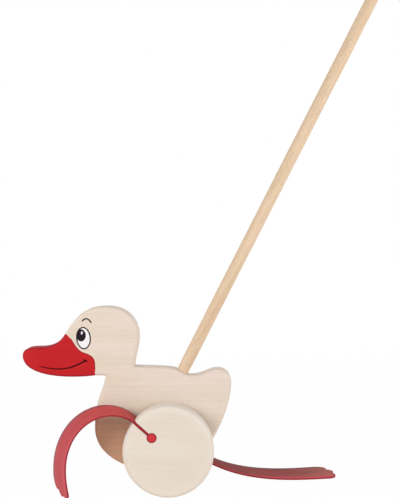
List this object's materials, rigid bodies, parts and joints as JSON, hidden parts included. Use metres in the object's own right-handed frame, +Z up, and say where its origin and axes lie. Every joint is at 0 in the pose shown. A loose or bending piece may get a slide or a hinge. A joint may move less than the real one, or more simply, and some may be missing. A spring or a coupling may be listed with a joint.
{
  "type": "duck push toy",
  "caption": "Wooden duck push toy on wheels, with a long leaning stick, a red painted bill and floppy red rubber feet that slap round as the wheels turn.",
  "frame": {"origin": "on the ground, below the middle of the whole toy", "axes": "+Z up, the duck faces -X, its left side is towards -Y"},
  "size_m": [0.3552, 0.0918, 0.4961],
  "materials": {
    "duck_wood": "pale lacquered wood with a red painted bill and a printed face",
    "stick_wood": "tan turned dowel, grain along its length",
    "axle_wood": "plain dowel",
    "wheel_wood": "pale sanded wood",
    "washer_plastic": "matt",
    "red_rubber": "soft satin rubber"
  },
  "bodies": {
    "duck": {"duck_body": "duck_wood", "push_stick": "stick_wood"},
    "wheel_set": {"axle": "axle_wood", "wheel_left": "wheel_wood", "wheel_right": "wheel_wood", "axle_washer_left": "washer_plastic", "axle_washer_right": "washer_plastic"},
    "left_foot": {"foot_left": "red_rubber"},
    "right_foot": {"foot_right": "red_rubber"}
  },
  "joints": [
    {"name": "wheel_spin", "type": "hinge", "parent": "duck", "child": "wheel_set", "pos_m": [-0.03258, 0, 0.044], "axis": [0, -1, 0], "continuous": true},
    {"name": "left_foot_flap", "type": "hinge", "parent": "wheel_set", "child": "left_foot", "pos_m": [-0.06554, -0.023, 0.07316], "axis": [0, -1, 0], "range_deg": [-60, 60], "stiffness_Nm_per_rad": 0.03, "springref_deg": -9.74, "deforming": ["foot_left"]},
    {"name": "right_foot_flap", "type": "hinge", "parent": "wheel_set", "child": "right_foot", "pos_m": [0.00581, 0.023, 0.0225], "axis": [0, -1, 0], "range_deg": [-60, 60], "stiffness_Nm_per_rad": 0.03, "springref_deg": 10.89, "deforming": ["foot_right"]}
  ]
}
